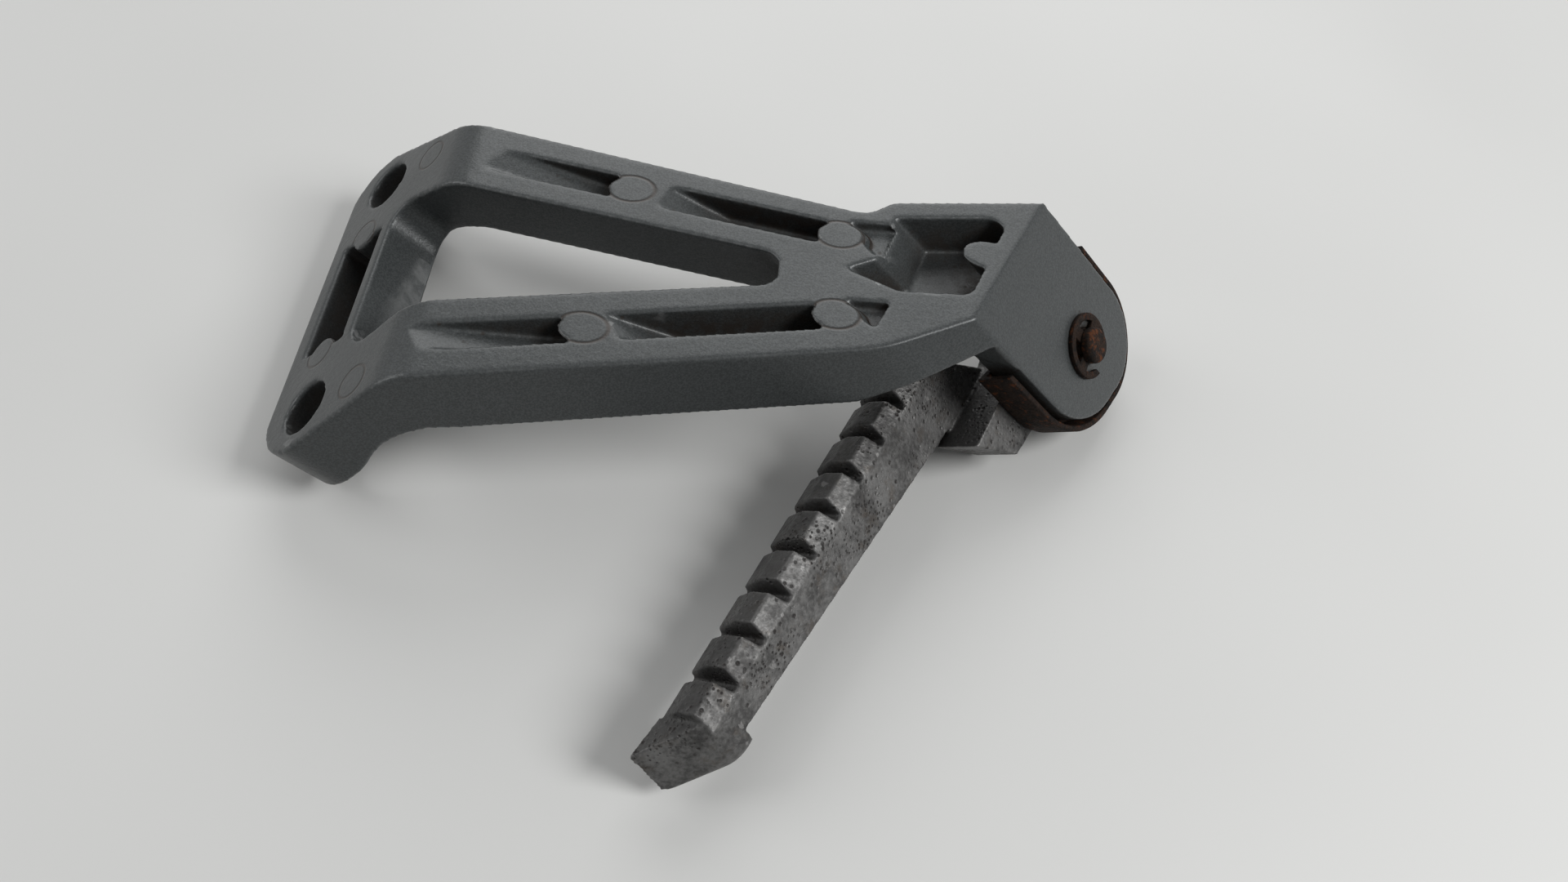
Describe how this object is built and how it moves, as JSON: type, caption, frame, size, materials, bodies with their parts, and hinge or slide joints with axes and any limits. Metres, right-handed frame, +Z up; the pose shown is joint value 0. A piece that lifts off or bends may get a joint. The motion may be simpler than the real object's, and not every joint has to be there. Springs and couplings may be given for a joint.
{
  "type": "motorbike passenger footrest bracket",
  "caption": "Triangular die-cast bracket with a bent mounting pad, carrying a ribbed footpeg that folds on a clipped pivot pin with a detent.",
  "frame": {"origin": "midway between the two bolt holes, on the mounting pad's face", "axes": "+Z up from the level face of the two arms, +X from the pad towards the pivot, +Y along the bend; the peg lies folded under the arms"},
  "size_m": [0.1366, 0.0993, 0.0341],
  "materials": {
    "bracket_paint": "satin metallic grey paint on cast aluminium, a little worn at the edges",
    "peg_alloy": "dull cast aluminium, oxidised and pitted",
    "pin_steel": "steel with brown surface rust",
    "clip_steel": "rusty spring steel",
    "plate_steel": "rusty pressed sheet steel",
    "ball_steel": "greased hardened steel",
    "spring_steel": "greased spring steel"
  },
  "bodies": {
    "bracket": {"bracket_casting": "bracket_paint", "pivot_pin": "pin_steel", "retaining_clip": "clip_steel", "detent_plate": "plate_steel"},
    "footpeg": {"footpeg_casting": "peg_alloy", "detent_ball": "ball_steel", "detent_spring": "spring_steel"}
  },
  "joints": [
    {"name": "peg_fold", "type": "hinge", "parent": "bracket", "child": "footpeg", "pos_m": [0.11848, 0.0093, -0.00501], "axis": [0.7068, -0.309, 0.6364], "range_deg": [0, 100]}
  ]
}
